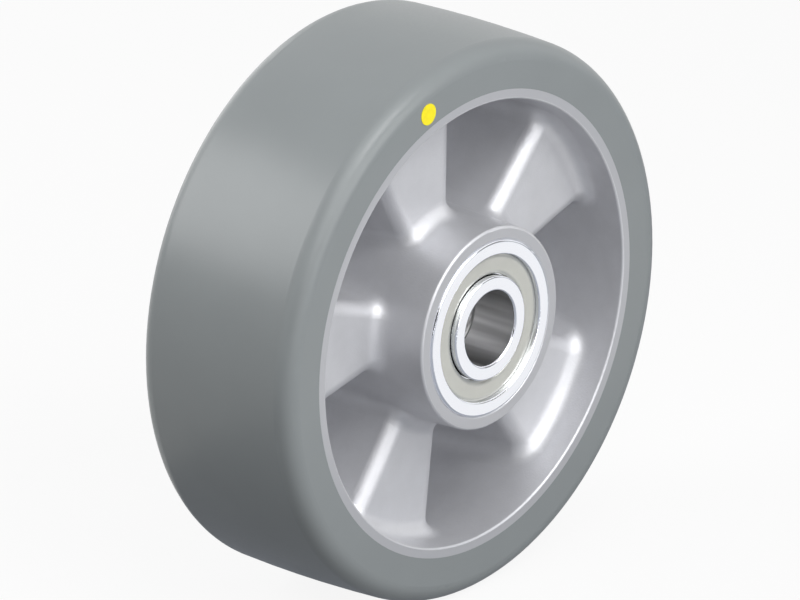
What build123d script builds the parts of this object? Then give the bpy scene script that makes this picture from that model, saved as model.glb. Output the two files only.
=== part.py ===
from build123d import *
import math
import os

# A castor wheel: a die-cast aluminium centre with a moulded tread and two sealed ball bearings.
# The origin is the wheel's centre, the axle lies along Y, and the front face looks towards -Y.
# Angles around the wheel run anticlockwise from +X, seen from the front. Lengths are millimetres.

# Overall sizes
wheel_diameter = 150.0
tread_width = 50.0
hub_length = 60.0
axle_diameter = 20.0

# Tread
tread_thickness = 13.0
tread_crown = 0.8
tread_corner = 5.0
keying_ridge_height = 1.6
keying_ridge_width = 5.0
keying_ridge_spacing = 20.0
keying_ridge_flank = 0.8

# Paint dot on the tread's front side
dot_diameter = 5.7
dot_thickness = 0.15
dot_inset = 9.0
dot_angle = 106.6

# Wheel centre
lip_width = 2.7
rim_wall_draft = 2.5
lip_edge_radius = 0.6
hub_wall = 3.5
hub_wall_draft = 2.0
hub_edge_radius = 0.7
hub_setback = 0.3
seat_mouth_chamfer = 0.4
bearing_shoulder = 2.5
rib_count = 5
rib_angle = 31.5
front_rib_recess = 10.0
rear_rib_recess = 4.5
web_wall = 4.5
rib_root_width = 2.4
rib_side_angle = 15.0
rib_draft = 7.6
rib_edge_radius = 4.0
pocket_fillet = 4.5

# Ball bearings
bearing_diameter = 47.0
bearing_width = 14.0
ring_corner_radius = 0.6
ball_count = 8
ball_diameter = 7.938
race_conformity = 0.52
ball_play = 0.03
inner_race_depth = 1.65
inner_step_depth = 0.5
inner_step_width = 2.5
face_edge_radius = 0.45
outer_race_depth = 1.4
outer_step_depth = 0.3
shield_groove_depth = 0.6
shield_groove_width = 0.85
shield_recess = 1.1
shield_thickness = 0.4
shield_bend_radius = 1.8
shield_bend_angle = 40.0
shield_bead_length = 0.45
shield_lip_length = 0.3
shield_play = 0.03
shield_gap = 0.25
cage_width = 2.4
cage_thickness = 0.5
cage_gap = 0.15
rivet_diameter = 0.9
rivet_head_diameter = 1.6
rivet_head_height = 0.35

# Spacer tube
spacer_wall = 3.0
spacer_chamfer = 0.3

# Values worked out from those above
wheel_radius = wheel_diameter / 2
rim_radius = wheel_radius - tread_thickness
half_tread = tread_width / 2
half_hub = hub_length / 2
axle_radius = axle_diameter / 2
hub_face = half_hub - hub_setback
lip_radius = rim_radius - lip_width
bearing_radius = bearing_diameter / 2
hub_radius = bearing_radius + hub_wall
bearing_seat = half_hub - bearing_width
bearing_centre = half_hub - bearing_width / 2
hub_bore_radius = bearing_radius - bearing_shoulder
rim_slope = math.tan(math.radians(rim_wall_draft))
hub_slope = math.tan(math.radians(hub_wall_draft))
rib_pitch = 360 / rib_count
front_rib_level = half_tread - front_rib_recess
rear_rib_level = half_tread - rear_rib_recess
ball_radius = ball_diameter / 2
ball_pitch_radius = (axle_radius + bearing_radius) / 2
race_radius = race_conformity * ball_diameter
inner_race_radius = ball_pitch_radius - ball_radius - ball_play
outer_race_radius = ball_pitch_radius + ball_radius + ball_play
inner_shoulder_radius = inner_race_radius + inner_race_depth
outer_shoulder_radius = outer_race_radius - outer_race_depth
inner_face_radius = inner_shoulder_radius - inner_step_depth
outer_face_radius = outer_shoulder_radius + outer_step_depth
cage_inner_radius = ball_pitch_radius - cage_width / 2
cage_outer_radius = ball_pitch_radius + cage_width / 2
half_bearing = bearing_width / 2
shield_middle = half_bearing - shield_recess - shield_thickness / 2
shield_slope = math.radians(shield_bend_angle)
shield_bend_reach = shield_bend_radius * math.sin(shield_slope)
shield_bend_drop = shield_bend_radius * (1 - math.cos(shield_slope))
shield_end_drop = shield_bend_drop + shield_bead_length * math.sin(shield_slope)
shield_seat = shield_middle - shield_end_drop - shield_thickness / 2 * math.cos(shield_slope) - shield_play
shield_seat_top = shield_seat + shield_groove_width
shield_seat_radius = outer_face_radius + shield_groove_depth


def rim_wall_radius(height):
    """Radius of the rim's drafted inner wall at a distance from the mid-plane."""
    return lip_radius - (half_tread - height) * rim_slope


def hub_wall_radius(height):
    """Radius of the hub's drafted outer wall at a distance from the mid-plane."""
    return hub_radius + (hub_face - height) * hub_slope


def around(piece, angle):
    """A copy of a piece, turned anticlockwise about the axle as seen from the front."""
    return piece.rotate(Axis.Y, -angle)


def section(*points):
    """A closed outline through points of radius and axle position."""
    with BuildSketch(Plane.XY) as outline:
        with BuildLine():
            Polyline(*points, close=True)
        make_face()
    return outline.sketch


def keying_ridge(centre):
    """Section of a low ridge with sloping flanks, which stands on the rim and keys the tread."""
    root = rim_radius - lip_width / 2
    top = rim_radius + keying_ridge_height
    half_foot = keying_ridge_width / 2
    half_top = half_foot - keying_ridge_flank
    return section(
        (root, centre - half_foot),
        (rim_radius, centre - half_foot),
        (top, centre - half_top),
        (top, centre + half_top),
        (rim_radius, centre + half_foot),
        (root, centre + half_foot),
    )


# Tread: a moulded tyre with a slight crown and round shoulders
with BuildPart() as tread:
    with BuildSketch(Plane.XY):
        with BuildLine():
            shoulder = wheel_radius - tread_crown
            Polyline(
                (shoulder, -half_tread),
                (rim_radius, -half_tread),
                (rim_radius, half_tread),
                (shoulder, half_tread),
            )
            ThreePointArc((shoulder, half_tread), (wheel_radius, 0), (shoulder, -half_tread))
        make_face()
        fillet(vertices().group_by(Axis.X)[-1], tread_corner)
    revolve(axis=Axis.Y)
    for ridge_centre in (-keying_ridge_spacing / 2, keying_ridge_spacing / 2):
        revolve(keying_ridge(ridge_centre), axis=Axis.Y, mode=Mode.SUBTRACT)
tread.part.label = "tread"


# Wheel centre: one casting, with pockets sunk from the front and, half a pitch on, from the rear
def rib(level, floor, half_root, side_angle):
    """One rib from its flat top to the floor beside it, along +X, with drafted sides."""
    widening = math.tan(math.radians(side_angle))
    near = hub_bore_radius
    far = wheel_radius
    near_half = half_root + near * widening
    far_half = half_root + far * widening
    with BuildPart() as wedge:
        with BuildSketch(Plane.XZ.offset(level)):
            Polygon((near, -near_half), (far, -far_half), (far, far_half), (near, near_half), align=None)
        extrude(amount=floor - level, taper=-rib_draft)
    return wedge.part


def cavity(level, floor, half_root, side_angle, first_angle):
    """What one die half leaves empty: the space over the hub and ribs, and the pockets between them."""
    outside = max(half_hub, half_tread) + lip_width
    one_rib = rib(level, floor, half_root, side_angle)
    with BuildPart() as space:
        revolve(
            section(
                (hub_wall_radius(outside), -outside),
                (wheel_radius, -outside),
                (wheel_radius, -half_tread),
                (lip_radius, -half_tread),
                (rim_wall_radius(floor), -floor),
                (hub_wall_radius(floor), -floor),
            ),
            axis=Axis.Y,
        )
        for number in range(rib_count):
            add(around(one_rib, first_angle + number * rib_pitch), mode=Mode.SUBTRACT)
    return space.part


front_floor = web_wall - rear_rib_level
rear_floor = web_wall - front_rib_level
rear_side_angle = rib_pitch / 2 - rib_side_angle
half_root = rib_root_width / 2
draft_growth = (front_rib_level + rear_rib_level) * math.tan(math.radians(rib_draft))
front_offset = half_root * math.cos(math.radians(rib_side_angle))
rear_half_root = (web_wall - front_offset - draft_growth) / math.cos(math.radians(rear_side_angle))

front_cavity = cavity(front_rib_level, front_floor, half_root, rib_side_angle, rib_angle)
rear_cavity = cavity(
    rear_rib_level, rear_floor, rear_half_root, rear_side_angle, rib_angle + rib_pitch / 2
).mirror(Plane.XZ)


def at_level(edge, *levels):
    """True where the middle of an edge lies at one of the levels along the axle."""
    return any(abs((edge @ 0.5).Y - level) < 0.001 for level in levels)


def at_radius(edge, *radii):
    """True where the middle of an edge lies at one of the radii from the axle."""
    middle = edge @ 0.5
    return any(abs(math.hypot(middle.X, middle.Z) - radius) < 0.01 for radius in radii)


def on_wall(edge):
    """True where an edge runs along a drafted wall of the hub or the rim, and isn't its seam."""
    height = (edge @ 0.5).Y
    walls = [wall(side * height) for wall in (hub_wall_radius, rim_wall_radius) for side in (-1, 1)]
    return edge.geom_type != GeomType.LINE and at_radius(edge, *walls)


with BuildPart() as rim:
    revolve(
        section(
            (hub_bore_radius, -bearing_seat),
            (bearing_radius, -bearing_seat),
            (bearing_radius, -hub_face),
            (rim_radius, -hub_face),
            (rim_radius, hub_face),
            (bearing_radius, hub_face),
            (bearing_radius, bearing_seat),
            (hub_bore_radius, bearing_seat),
        ),
        axis=Axis.Y,
    )
    add(front_cavity, mode=Mode.SUBTRACT)
    add(rear_cavity, mode=Mode.SUBTRACT)
    straight = edges().filter_by(GeomType.LINE)
    rib_edges = straight.filter_by(lambda edge: at_level(edge, -front_rib_level, rear_rib_level))
    fillet(rib_edges, rib_edge_radius)
    straight = edges().filter_by(GeomType.LINE)
    floor_edges = straight.filter_by(lambda edge: at_level(edge, -front_floor, rear_floor))
    web_edges = edges().filter_by_position(Axis.Y, -front_rib_level, rear_rib_level)
    fillet(web_edges.filter_by(on_wall) + floor_edges, pocket_fillet)
    circles = edges().filter_by(GeomType.CIRCLE)
    hub_ends = circles.filter_by(lambda edge: at_level(edge, -hub_face, hub_face))
    fillet(hub_ends.filter_by(lambda edge: at_radius(edge, hub_radius)), hub_edge_radius)
    chamfer(hub_ends.filter_by(lambda edge: at_radius(edge, bearing_radius)), seat_mouth_chamfer)
    lips = circles.filter_by(lambda edge: at_level(edge, -half_tread, half_tread))
    fillet(lips.filter_by(lambda edge: at_radius(edge, lip_radius)), lip_edge_radius)
    for ridge_centre in (-keying_ridge_spacing / 2, keying_ridge_spacing / 2):
        revolve(keying_ridge(ridge_centre), axis=Axis.Y)
rim.part.label = "rim"


# Paint dot: a round dab on the tread's front side
with BuildPart() as marking_dot:
    with BuildSketch(Plane.XZ.offset(half_tread)):
        with PolarLocations(wheel_radius - dot_inset, 1, start_angle=dot_angle):
            Circle(dot_diameter / 2)
    extrude(amount=dot_thickness)
marking_dot.part.label = "marking_dot"


# Spacer tube: it holds the two inner rings apart on the axle
with BuildPart() as spacer_tube:
    revolve(
        section(
            (axle_radius, -bearing_seat),
            (axle_radius + spacer_wall, -bearing_seat),
            (axle_radius + spacer_wall, bearing_seat),
            (axle_radius, bearing_seat),
        ),
        axis=Axis.Y,
    )
    chamfer(edges().filter_by(lambda edge: at_level(edge, -bearing_seat, bearing_seat)), spacer_chamfer)
spacer_tube.part.label = "spacer_tube"


# Ball bearings: each is modelled about the origin with its outer face towards -Y
def race_half_width(depth):
    """Half the width of a race groove at its shoulder, from its depth."""
    return math.sqrt(race_radius**2 - (race_radius - depth) ** 2)


def make_outer_ring():
    """The ring pressed into the hub, with its race and a groove for each shield."""
    shoulder = outer_shoulder_radius
    face = outer_face_radius
    half_race = race_half_width(outer_race_depth)
    with BuildPart() as ring:
        with BuildSketch(Plane.XY):
            with BuildLine():
                Polyline(
                    (shoulder, half_race),
                    (shoulder, shield_seat),
                    (shield_seat_radius, shield_seat),
                    (shield_seat_radius, shield_seat_top),
                    (face, shield_seat_top),
                    (face, half_bearing),
                    (bearing_radius, half_bearing),
                    (bearing_radius, -half_bearing),
                    (face, -half_bearing),
                    (face, -shield_seat_top),
                    (shield_seat_radius, -shield_seat_top),
                    (shield_seat_radius, -shield_seat),
                    (shoulder, -shield_seat),
                    (shoulder, -half_race),
                )
                ThreePointArc((shoulder, -half_race), (outer_race_radius, 0), (shoulder, half_race))
            make_face()
        revolve(axis=Axis.Y)
        ends = edges().filter_by(lambda edge: at_level(edge, -half_bearing, half_bearing))
        fillet(ends.filter_by(lambda edge: at_radius(edge, bearing_radius)), ring_corner_radius)
        fillet(ends.filter_by(lambda edge: at_radius(edge, face)), face_edge_radius)
    return ring.part


def make_inner_ring():
    """The ring on the axle, with its race and a step under the lip of each shield."""
    shoulder = inner_shoulder_radius
    face = inner_face_radius
    step = half_bearing - inner_step_width
    half_race = race_half_width(inner_race_depth)
    with BuildPart() as ring:
        with BuildSketch(Plane.XY):
            with BuildLine():
                Polyline(
                    (shoulder, half_race),
                    (shoulder, step),
                    (face, step),
                    (face, half_bearing),
                    (axle_radius, half_bearing),
                    (axle_radius, -half_bearing),
                    (face, -half_bearing),
                    (face, -step),
                    (shoulder, -step),
                    (shoulder, -half_race),
                )
                ThreePointArc((shoulder, -half_race), (inner_race_radius, 0), (shoulder, half_race))
            make_face()
        revolve(axis=Axis.Y)
        ends = edges().filter_by(lambda edge: at_level(edge, -half_bearing, half_bearing))
        fillet(ends.filter_by(lambda edge: at_radius(edge, axle_radius)), ring_corner_radius)
        fillet(ends.filter_by(lambda edge: at_radius(edge, face)), face_edge_radius)
    return ring.part


def make_shield():
    """A pressed sheet ring, bent down towards the inner ring and into the outer ring's groove."""
    half_sheet = shield_thickness / 2 * math.sin(shield_slope)
    bead_reach = shield_bead_length * math.cos(shield_slope)
    lip_reach = shield_lip_length * math.cos(shield_slope)
    outer_bend = shield_seat_radius - shield_play - half_sheet - bead_reach - shield_bend_reach
    inner_bend = inner_face_radius + shield_gap + half_sheet + lip_reach + shield_bend_reach
    with BuildPart() as shield:
        with BuildSketch(Plane.XY):
            with BuildLine():
                Line((inner_bend, -shield_middle), (outer_bend, -shield_middle))
                outer_arc = JernArc(
                    (outer_bend, -shield_middle), (1, 0), shield_bend_radius, shield_bend_angle
                )
                PolarLine(outer_arc @ 1, shield_bead_length, shield_bend_angle)
                inner_arc = JernArc(
                    (inner_bend, -shield_middle), (-1, 0), shield_bend_radius, -shield_bend_angle
                )
                PolarLine(inner_arc @ 1, shield_lip_length, 180 - shield_bend_angle)
            trace(line_width=shield_thickness)
        revolve(axis=Axis.Y)
    return shield.part


def make_cage_half():
    """One pressed half of the ball cage: a flat ring that bulges over each ball."""
    pocket_radius = ball_radius + cage_gap
    bulge_radius = pocket_radius + cage_thickness
    inner = cage_inner_radius
    outer = cage_outer_radius
    with BuildPart(Plane.XZ) as half:
        with PolarLocations(ball_pitch_radius, ball_count):
            Sphere(bulge_radius)
        revolve(
            section(
                (inner - bulge_radius, -cage_thickness),
                (outer + bulge_radius, -cage_thickness),
                (outer + bulge_radius, 0),
                (inner - bulge_radius, 0),
            ),
            axis=Axis.Y,
        )
        revolve(
            section((inner, -bulge_radius), (outer, -bulge_radius), (outer, 0), (inner, 0)),
            axis=Axis.Y,
            mode=Mode.INTERSECT,
        )
        with PolarLocations(ball_pitch_radius, ball_count):
            Sphere(pocket_radius, mode=Mode.SUBTRACT)
        with PolarLocations(ball_pitch_radius, ball_count, start_angle=180 / ball_count):
            Hole(rivet_diameter / 2)
    return half.part


def make_rivets():
    """The rivets that join the two cage halves, one between each pair of balls."""
    halves = (
        (rivet_diameter, -cage_thickness, 2 * cage_thickness),
        (rivet_head_diameter, cage_thickness, rivet_head_height),
        (rivet_head_diameter, -cage_thickness, -rivet_head_height),
    )
    with BuildPart() as rivets:
        for diameter, start, length in halves:
            with BuildSketch(Plane.XZ.offset(start)):
                with PolarLocations(ball_pitch_radius, ball_count, start_angle=180 / ball_count):
                    Circle(diameter / 2)
            extrude(amount=length)
    return rivets.part


def make_ball(number):
    """One ball at its place in the cage."""
    with BuildPart(Plane.XZ) as ball:
        with PolarLocations(ball_pitch_radius, 1, start_angle=number * 360 / ball_count):
            Sphere(ball_radius)
    return ball.part


outer_ring = make_outer_ring()
inner_ring = make_inner_ring()
shield = make_shield()
cage_half = make_cage_half()
rivets = make_rivets()
bearing_pieces = {
    "outer_ring": outer_ring,
    "inner_ring": inner_ring,
    "outer_shield": shield,
    "inner_shield": shield.mirror(Plane.XZ),
    "cage_outer_half": cage_half,
    "cage_inner_half": cage_half.mirror(Plane.XZ),
    "cage_rivets": rivets,
}
for number in range(ball_count):
    bearing_pieces[f"ball_{number + 1}"] = make_ball(number)

pieces = [tread.part, rim.part, marking_dot.part, spacer_tube.part]
for name, piece in bearing_pieces.items():
    front_piece = Pos(0, -bearing_centre, 0) * piece
    front_piece.label = f"front_{name}"
    rear_piece = Pos(0, bearing_centre, 0) * piece.mirror(Plane.XZ)
    rear_piece.label = f"rear_{name}"
    pieces += [front_piece, rear_piece]

os.makedirs("parts", exist_ok=True)
for piece in pieces:
    export_step(piece, f"parts/{piece.label}.step")
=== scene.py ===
import math

import bmesh
import bpy
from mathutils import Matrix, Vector


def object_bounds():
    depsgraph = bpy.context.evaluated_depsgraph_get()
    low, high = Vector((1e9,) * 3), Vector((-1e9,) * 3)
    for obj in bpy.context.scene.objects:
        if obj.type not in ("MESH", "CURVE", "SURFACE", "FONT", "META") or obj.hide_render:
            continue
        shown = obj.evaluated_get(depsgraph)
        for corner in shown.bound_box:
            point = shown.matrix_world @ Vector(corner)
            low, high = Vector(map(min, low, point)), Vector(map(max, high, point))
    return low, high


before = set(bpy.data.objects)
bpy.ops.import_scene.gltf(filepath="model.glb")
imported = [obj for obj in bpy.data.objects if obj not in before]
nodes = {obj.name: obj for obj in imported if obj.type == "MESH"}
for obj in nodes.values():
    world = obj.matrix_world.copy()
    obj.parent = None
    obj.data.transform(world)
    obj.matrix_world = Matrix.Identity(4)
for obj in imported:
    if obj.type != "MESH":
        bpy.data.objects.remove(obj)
cad_low, cad_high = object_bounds()


# Tread
# A thick tyre of grey elastomer, cast onto the wheel centre in a polished mould.
# It has a soft sheen, a very fine skin and hardly any change of colour.
tread_colour = (0.247, 0.267, 0.273)
tread_cloud_size = 0.02
tread_cloud_depth = 0.02
tread_roughness = 0.32
tread_roughness_drift = 0.03
tread_gloss = 0.4
tread_skin_size = 0.0006
tread_skin_height = 0.000004
pattern_low = 0.3
pattern_high = 0.7


def finish(name, colour, roughness, metal=0.0, gloss=0.5):
    """A new material with an even colour, roughness, share of metal and gloss."""
    material = bpy.data.materials.new(name)
    material.use_nodes = True
    shader = material.node_tree.nodes["Principled BSDF"]
    shader.inputs["Base Color"].default_value = (*colour, 1)
    shader.inputs["Roughness"].default_value = roughness
    shader.inputs["Metallic"].default_value = metal
    shader.inputs["Specular IOR Level"].default_value = gloss
    return material


def add(material, kind, inputs=None, **settings):
    """Adds a node. An input is a value, or another node's output, which is joined to it."""
    tree = material.node_tree
    node = tree.nodes.new("ShaderNode" + kind)
    for name, value in settings.items():
        setattr(node, name, value)
    for name, value in (inputs or {}).items():
        if isinstance(value, bpy.types.NodeSocket):
            tree.links.new(value, node.inputs[name])
        else:
            node.inputs[name].default_value = value
    return node


def join(material, output, socket, node="Principled BSDF"):
    """Joins an output to a socket of the shader, or of another node."""
    material.node_tree.links.new(output, material.node_tree.nodes[node].inputs[socket])


def on_piece(material):
    """The place on a piece, in metres from the wheel's centre."""
    return add(material, "TexCoord").outputs["Object"]


def grain(material, point, size, detail=2):
    """Even noise whose bumps are about this size in metres."""
    inputs = {"Vector": point, "Scale": 1 / size, "Detail": detail}
    return add(material, "TexNoise", inputs).outputs["Fac"]


def clouds(material, pattern, colour, depth):
    """A colour that drifts by a small share, up and down, with a pattern."""
    ramp = add(material, "ValToRGB", {"Fac": pattern})
    dark, light = ramp.color_ramp.elements
    dark.position = pattern_low
    dark.color = (*(part * (1 - depth) for part in colour), 1)
    light.position = pattern_high
    light.color = (*(part * (1 + depth) for part in colour), 1)
    return ramp.outputs["Color"]


def drift(material, pattern, middle, reach):
    """A value that drifts up and down from its middle with a pattern."""
    inputs = {
        "Value": pattern,
        "From Min": pattern_low,
        "From Max": pattern_high,
        "To Min": middle - reach,
        "To Max": middle + reach,
    }
    return add(material, "MapRange", inputs).outputs["Result"]


def relief(material, pattern, height):
    """Raises the surface by a pattern times a height in metres."""
    inputs = {"Height": pattern, "Strength": 1.0, "Distance": height}
    join(material, add(material, "Bump", inputs).outputs["Normal"], "Normal")


def dress(material, *names):
    """Gives CAD nodes their finish."""
    for name in names:
        nodes[name].material_slots[0].material = material


elastomer = finish("moulded elastomer", tread_colour, tread_roughness, gloss=tread_gloss)
point = on_piece(elastomer)
patches = grain(elastomer, point, tread_cloud_size, detail=3)
join(elastomer, clouds(elastomer, patches, tread_colour, tread_cloud_depth), "Base Color")
skin = grain(elastomer, point, tread_skin_size, detail=3)
join(elastomer, drift(elastomer, skin, tread_roughness, tread_roughness_drift), "Roughness")
relief(elastomer, skin, tread_skin_height)
dress(elastomer, "tread")


# Paint dot
# A dab of yellow marking paint on the front side of the tread, put on with a round stamp.
# The film is a little uneven in shade and height.
dot_colour = (0.94, 0.80, 0.012)
dot_roughness = 0.45
dot_cloud_size = 0.0012
dot_cloud_depth = 0.05
dot_bump_size = 0.0005
dot_bump_height = 0.00001

paint = finish("yellow marking paint", dot_colour, dot_roughness)
point = on_piece(paint)
patches = grain(paint, point, dot_cloud_size)
join(paint, clouds(paint, patches, dot_colour, dot_cloud_depth), "Base Color")
relief(paint, grain(paint, point, dot_bump_size), dot_bump_height)
dress(paint, "marking_dot")


# Wheel centre
# An aluminium die casting. The pockets keep the grey, finely grained skin of the die, and the two
# ends of the hub and the two lips are turned flat, which leaves fine rings about the axle.
cast_colour = (0.60, 0.604, 0.628)
cast_cloud_size = 0.006
cast_cloud_depth = 0.03
cast_roughness = 0.46
cast_roughness_drift = 0.05
cast_metal = 0.5
cast_skin_size = 0.0005
cast_skin_height = 0.000048
turned_colour = (0.455, 0.462, 0.487)
turned_roughness = 0.28
turned_metal = 0.15
turned_line_size = 0.00012
turned_line_height = 0.0000015
turned_from = 0.0246
turned_squareness = 0.995


def work_out(material, operation, *values):
    """The result of a sum on numbers or other nodes' outputs."""
    return add(material, "Math", dict(enumerate(values)), operation=operation).outputs[0]


def from_axle(material, point):
    """A place's distance from the axle."""
    flat = add(material, "VectorMath", {0: point, 1: (1, 0, 1)}, operation="MULTIPLY").outputs[0]
    return add(material, "VectorMath", {0: flat}, operation="LENGTH").outputs["Value"]


def along_axle(material, vector):
    """How far a place lies, or a face looks, along the axle, to either side."""
    return work_out(material, "ABSOLUTE", add(material, "SeparateXYZ", {0: vector}).outputs["Y"])


def turned_lines(material, point, size):
    """Fine rings about the axle, as a lathe or grinding wheel leaves them."""
    inputs = {"W": from_axle(material, point), "Scale": 1 / size, "Detail": 2}
    return add(material, "TexNoise", inputs, noise_dimensions="1D").outputs["Fac"]


def on_turned_face(material, point):
    """1 on the flat faces square to the axle at the outside of the casting, and 0 elsewhere."""
    looks = along_axle(material, add(material, "TexCoord").outputs["Normal"])
    square = work_out(material, "GREATER_THAN", looks, turned_squareness)
    outside = work_out(material, "GREATER_THAN", along_axle(material, point), turned_from)
    return work_out(material, "MULTIPLY", square, outside)


def choose(material, mask, without, within):
    """One value or pattern outside a mask, and another inside it."""
    inputs = {0: mask, 2: without, 3: within}
    return add(material, "Mix", inputs, data_type="FLOAT").outputs[0]


def choose_colour(material, mask, without, within):
    """One colour outside a mask, and another inside it."""
    inputs = {0: mask, 6: without, 7: within}
    return add(material, "Mix", inputs, data_type="RGBA").outputs[2]


casting = finish("die cast aluminium", cast_colour, cast_roughness, cast_metal)
point = on_piece(casting)
turned = on_turned_face(casting, point)
skin = grain(casting, point, cast_skin_size, detail=3)
lines = turned_lines(casting, point, turned_line_size)
patches = grain(casting, point, cast_cloud_size, detail=4)
shades = clouds(casting, patches, cast_colour, cast_cloud_depth)
shades = choose_colour(casting, turned, shades, (*turned_colour, 1))
join(casting, shades, "Base Color")
sheen = drift(casting, skin, cast_roughness, cast_roughness_drift)
join(casting, choose(casting, turned, sheen, turned_roughness), "Roughness")
join(casting, choose(casting, turned, cast_metal, turned_metal), "Metallic")
skin = work_out(casting, "MULTIPLY", skin, cast_skin_height / turned_line_height)
relief(casting, choose(casting, turned, skin, lines), turned_line_height)
dress(casting, "rim")


# Bearing rings
# Hardened chrome steel, ground bright on the faces, with polished round corners. The bores that
# slide onto the axle are duller. Soft streaks along them are painted reflections, and the dark
# band where the spacer tube meets them is painted shade.
ring_colour = (0.92, 0.935, 0.98)
ring_roughness = 0.09
ring_roughness_drift = 0.02
ring_line_size = 0.00008
ring_line_height = 0.0000002
bore_colour = (0.70, 0.70, 0.705)
bore_roughness = 0.34
bore_reach = 0.0107
bore_end = 0.0294
# The streaks below are painted reflections in the bores' colour.
reflection_streak_scale = 240.0
reflection_streak_stretch = 0.06
reflection_streak_depth = 0.42
# The joint colour is painted shade, where the spacer tube meets the rings and little light gets
# in.
painted_joint_shade = (0.20, 0.20, 0.20)
joint_shade_end = 0.0166


def in_bore(material, point):
    """1 on the bore and its inner corners, and 0 elsewhere."""
    near = work_out(material, "LESS_THAN", from_axle(material, point), bore_reach)
    between = work_out(material, "LESS_THAN", along_axle(material, point), bore_end)
    return work_out(material, "MULTIPLY", near, between)


def bore_painted_reflections(material, point):
    """The colour of a bore, with soft streaks along the axle that are painted reflections."""
    stretch = {0: point, 1: (1, reflection_streak_stretch, 1)}
    drawn_out = add(material, "VectorMath", stretch, operation="MULTIPLY").outputs[0]
    inputs = {"Vector": drawn_out, "Scale": reflection_streak_scale, "Detail": 2}
    reflection_streaks = add(material, "TexNoise", inputs).outputs["Fac"]
    return clouds(material, reflection_streaks, bore_colour, reflection_streak_depth)


bright_steel = finish("ground bearing steel", ring_colour, ring_roughness, metal=1.0)
point = on_piece(bright_steel)
bore = in_bore(bright_steel, point)
lines = turned_lines(bright_steel, point, ring_line_size)
# Painted shade: the bore turns dark near the spacer tube.
joint_shade = work_out(bright_steel, "LESS_THAN", along_axle(bright_steel, point), joint_shade_end)
shades = bore_painted_reflections(bright_steel, point)
shades = choose_colour(bright_steel, joint_shade, shades, (*painted_joint_shade, 1))
shades = choose_colour(bright_steel, bore, (*ring_colour, 1), shades)
join(bright_steel, shades, "Base Color")
sheen = drift(bright_steel, lines, ring_roughness, ring_roughness_drift)
join(bright_steel, choose(bright_steel, bore, sheen, bore_roughness), "Roughness")
relief(bright_steel, lines, ring_line_height)
for side in ("front", "rear"):
    dress(bright_steel, f"{side}_outer_ring", f"{side}_inner_ring")


# Shields
# Pressed rings of thin sheet steel with a smooth, warm grey coating. Each is beaded into a groove
# of its outer ring, and ends just clear of the inner ring.
shield_colour = (0.56, 0.565, 0.525)
shield_roughness = 0.24
shield_metal = 0.6
shield_cloud_size = 0.003
shield_cloud_depth = 0.02
shield_grain_size = 0.0003
shield_grain_height = 0.000001

coated_sheet = finish("coated shield sheet", shield_colour, shield_roughness, shield_metal)
point = on_piece(coated_sheet)
patches = grain(coated_sheet, point, shield_cloud_size)
join(coated_sheet, clouds(coated_sheet, patches, shield_colour, shield_cloud_depth), "Base Color")
relief(coated_sheet, grain(coated_sheet, point, shield_grain_size), shield_grain_height)
for side in ("front", "rear"):
    dress(coated_sheet, f"{side}_outer_shield", f"{side}_inner_shield")


# Balls and cages
# Lapped steel balls, each in a pocket between two cage halves pressed from sheet steel.
# Small rivets between the pockets hold the halves together.
ball_count = 8
ball_colour = (0.80, 0.81, 0.84)
ball_roughness = 0.065
ball_roughness_drift = 0.015
ball_smear_size = 0.0015
cage_colour = (0.52, 0.50, 0.47)
cage_roughness = 0.35
cage_cloud_size = 0.002
cage_cloud_depth = 0.05
cage_grain_size = 0.0004
cage_grain_height = 0.000003

lapped_steel = finish("lapped ball steel", ball_colour, ball_roughness, metal=1.0)
smears = grain(lapped_steel, on_piece(lapped_steel), ball_smear_size)
join(lapped_steel, drift(lapped_steel, smears, ball_roughness, ball_roughness_drift), "Roughness")

pressed_sheet = finish("pressed cage sheet", cage_colour, cage_roughness, metal=1.0)
point = on_piece(pressed_sheet)
patches = grain(pressed_sheet, point, cage_cloud_size)
join(pressed_sheet, clouds(pressed_sheet, patches, cage_colour, cage_cloud_depth), "Base Color")
relief(pressed_sheet, grain(pressed_sheet, point, cage_grain_size), cage_grain_height)

for side in ("front", "rear"):
    for number in range(1, ball_count + 1):
        dress(lapped_steel, f"{side}_ball_{number}")
    for piece in ("outer_half", "inner_half", "rivets"):
        dress(pressed_sheet, f"{side}_cage_{piece}")


# Spacer tube
# Drawn steel tube, faced to length and reamed, which leaves its bore dull. Soft streaks along it
# are painted reflections. The two inner rings clamp it between them, and painted shade darkens
# its ends at those joints.
tube_shade_from = 0.0157
tube_line_size = 0.0001
tube_line_height = 0.0000004

drawn_tube = finish("reamed steel tube", bore_colour, bore_roughness, metal=1.0)
point = on_piece(drawn_tube)
# Painted shade: the tube's ends turn dark where the inner rings meet it.
unshaded = work_out(drawn_tube, "LESS_THAN", along_axle(drawn_tube, point), tube_shade_from)
shades = bore_painted_reflections(drawn_tube, point)
join(drawn_tube, choose_colour(drawn_tube, unshaded, (*painted_joint_shade, 1), shades), "Base Color")
relief(drawn_tube, turned_lines(drawn_tube, point, tube_line_size), tube_line_height)
dress(drawn_tube, "spacer_tube")


# Studio
# A pale floor under the wheel, a white surround, and soft lamps all round it and above.
# Black and grey cards, which only reflections show, give the polished steel its dark lines.
white = (1, 1, 1, 1)
floor_size = 8.0
floor_colour = (0.85, 0.85, 0.85)
floor_roughness = 1.0
floor_gloss = 0.0
floor_bounce = (0.25, 0.25, 0.25)
floor_white_seen = 0.9
floor_white_mirrored = 0.8
surround_level = 0.05
lamp_distance = 1.0
card_roughness = 0.9
black_card_colour = (0.02, 0.02, 0.02)
grey_card_colour = (0.12, 0.125, 0.135)
grey_card_glow = (0.235, 0.25, 0.285)
grey_card_size = 3.2
grey_card_back = 0.06
grey_card_lift = 0.0005
opening_x = (0.045, 0.25)
opening_y = (-0.215, -0.085)


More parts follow.
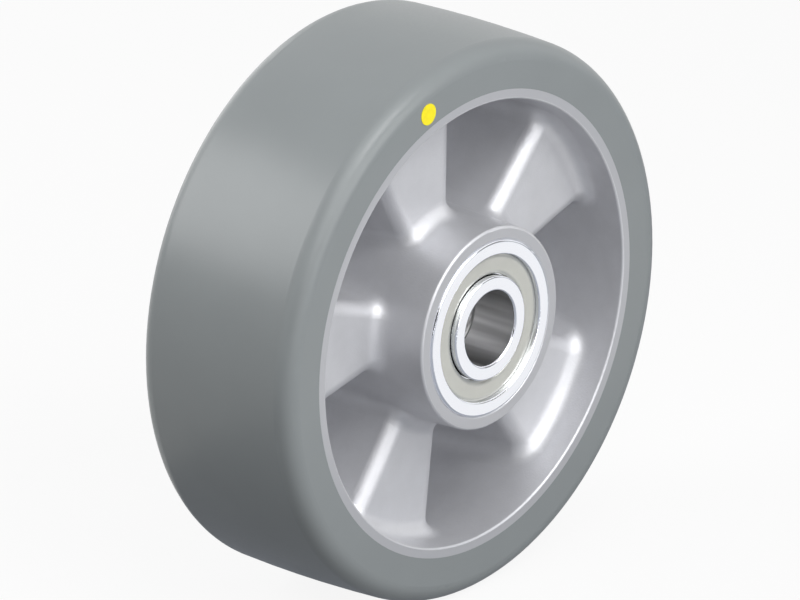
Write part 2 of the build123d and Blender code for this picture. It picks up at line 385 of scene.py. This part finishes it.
def plain_white(material, seen, mirrored):
    """The share of plain white, seen straight and in reflections or glass. Light has none."""
    path = add(material, "LightPath").outputs
    indirect = work_out(material, "MAXIMUM", path["Is Glossy Ray"], path["Is Transmission Ray"])
    indirect = work_out(material, "MULTIPLY", indirect, mirrored)
    direct = work_out(material, "MULTIPLY", path["Is Camera Ray"], seen)
    return work_out(material, "MAXIMUM", direct, indirect)


def put_in(name, data):
    """Makes an object of a mesh, a lamp or a camera, and puts it in the scene."""
    made = bpy.data.objects.new(name, data)
    bpy.context.scene.collection.objects.link(made)
    return made


def flat_sheet(size):
    """A flat square about the origin."""
    shape = bmesh.new()
    bmesh.ops.create_grid(shape, x_segments=1, y_segments=1, size=size / 2)
    return shape


def lay_out(name, shape, material):
    """Makes an object of a shape and a material."""
    mesh = bpy.data.meshes.new(name)
    shape.to_mesh(mesh)
    shape.free()
    mesh.materials.append(material)
    return put_in(name, mesh)


floor_paper = finish("floor paper", floor_colour, floor_roughness, gloss=floor_gloss)
onto_wheel = add(floor_paper, "LightPath").outputs["Is Diffuse Ray"]
shades = choose_colour(floor_paper, onto_wheel, (*floor_colour, 1), (*floor_bounce, 1))
join(floor_paper, shades, "Base Color")
inputs = {
    0: plain_white(floor_paper, floor_white_seen, floor_white_mirrored),
    1: floor_paper.node_tree.nodes["Principled BSDF"].outputs[0],
    2: add(floor_paper, "Emission", {"Color": white, "Strength": 1.0}).outputs[0],
}
mixed = add(floor_paper, "MixShader", inputs).outputs[0]
join(floor_paper, mixed, "Surface", "Material Output")
shape = flat_sheet(floor_size)
bmesh.ops.translate(shape, vec=(0, 0, cad_low[2]), verts=shape.verts)
floor = lay_out("floor", shape, floor_paper)

world = bpy.data.worlds.new("studio")
world.use_nodes = True
bpy.context.scene.world = world
surround = world.node_tree.nodes["Background"]
surround.inputs["Color"].default_value = white
surround.inputs["Strength"].default_value = surround_level
inputs = {
    0: plain_white(world, seen=1.0, mirrored=1.0),
    1: surround.outputs[0],
    2: add(world, "Background", {"Color": white, "Strength": 1.0}).outputs[0],
}
mixed = add(world, "MixShader", inputs).outputs[0]
join(world, mixed, "Surface", "World Output")


def softbox(name, towards, size, level):
    """A square lamp in a direction from the wheel, as bright as the level, where 1 is white."""
    lamp_data = bpy.data.lights.new(name, "AREA")
    lamp_data.size = size
    lamp_data.energy = level * math.pi * size * size
    lamp = put_in(name, lamp_data)
    lamp.location = Vector(towards).normalized() * lamp_distance
    lamp.rotation_euler = Vector(towards).to_track_quat("Z", "Y").to_euler()


softbox("back_left_softbox", (-0.57, 0.60, 0.54), size=0.6, level=4.7)
softbox("front_low_softbox", (-0.33, -0.92, 0.208), size=0.6, level=2.4)
softbox("front_middle_softbox", (-0.324, -0.694, 0.643), size=0.6, level=2.1)
softbox("front_high_softbox", (-0.158, -0.340, 0.927), size=0.6, level=1.7)
softbox("front_right_softbox", (0.253, -0.945, 0.208), size=0.6, level=2.5)
softbox("top_spot", (0.06, -0.64, 0.76), size=0.35, level=7.0)
softbox("back_fill", (0.15, 0.95, 0.25), size=0.9, level=1.2)


def lay_card(name, shape, card_stock):
    """Makes a card of a shape, which lamps and the camera look through."""
    card = lay_out(name, shape, card_stock)
    card.visible_camera = False
    card.visible_diffuse = False
    card.visible_shadow = False


def black_card(name, towards, width, height, distance):
    """A black card that faces the wheel from a direction."""
    shape = flat_sheet(1.0)
    bmesh.ops.scale(shape, vec=(width, height, 1), verts=shape.verts)
    turn = Vector(towards).to_track_quat("Z", "Y").to_matrix()
    bmesh.ops.rotate(shape, matrix=turn, verts=shape.verts)
    place = Vector(towards).normalized() * distance
    bmesh.ops.translate(shape, vec=place, verts=shape.verts)
    lay_card(name, shape, card_black)


def cut_along(shape, place, square_to):
    """Cuts a sheet's faces in two along a plane."""
    everything = [*shape.verts, *shape.edges, *shape.faces]
    bmesh.ops.bisect_plane(shape, geom=everything, plane_co=place, plane_no=square_to)


card_black = finish("black card", black_card_colour, card_roughness)
black_card("left_card", (-0.62, -0.76, 0.17), width=1.06, height=0.33, distance=0.8)
black_card("right_card", (0.71, -0.66, 0.20), width=0.5, height=0.40, distance=1.2)

# The grey card lies on the floor. The ring faces mirror the white floor in its opening.
card_grey = finish("grey card", grey_card_colour, card_roughness)
shader = card_grey.node_tree.nodes["Principled BSDF"]
shader.inputs["Emission Color"].default_value = (*grey_card_glow, 1)
shader.inputs["Emission Strength"].default_value = 1.0
shape = flat_sheet(grey_card_size)
place = (0, grey_card_back - grey_card_size / 2, cad_low[2] + grey_card_lift)
bmesh.ops.translate(shape, vec=place, verts=shape.verts)
for x in opening_x:
    cut_along(shape, (x, 0, 0), (1, 0, 0))
for y in opening_y:
    cut_along(shape, (0, y, 0), (0, 1, 0))
middles = [(face, face.calc_center_median()) for face in shape.faces]
opening = [
    face for face, middle in middles
    if opening_x[0] < middle.x < opening_x[1] and opening_y[0] < middle.y < opening_y[1]
]
bmesh.ops.delete(shape, geom=opening, context="FACES")
lay_card("grey_card", shape, card_grey)


# Camera
# It looks down on the front of the wheel from the left, through a long lens, so that the wheel
# fills the picture from top to bottom.
view_azimuth = math.radians(-49.938)
view_elevation = math.radians(21.892)
view_width = 0.20537
centre_right = 0.000214
centre_down = 0.00011
lens = 1000.0
film_width = 36.0
farthest_seen = 50.0

backwards = Vector((
    math.sin(view_azimuth) * math.cos(view_elevation),
    -math.cos(view_azimuth) * math.cos(view_elevation),
    math.sin(view_elevation),
))
camera_data = bpy.data.cameras.new("camera")
camera_data.sensor_width = film_width
camera_data.lens = lens
camera_data.clip_end = farthest_seen
camera = put_in("camera", camera_data)
camera.rotation_euler = backwards.to_track_quat("Z", "Y").to_euler()
right = Vector((math.cos(view_azimuth), math.sin(view_azimuth), 0))
upwards = backwards.cross(right)
aim = upwards * centre_down - right * centre_right
camera.location = aim + backwards * view_width * lens / film_width
bpy.context.scene.camera = camera
bpy.context.scene.view_settings.view_transform = "Standard"
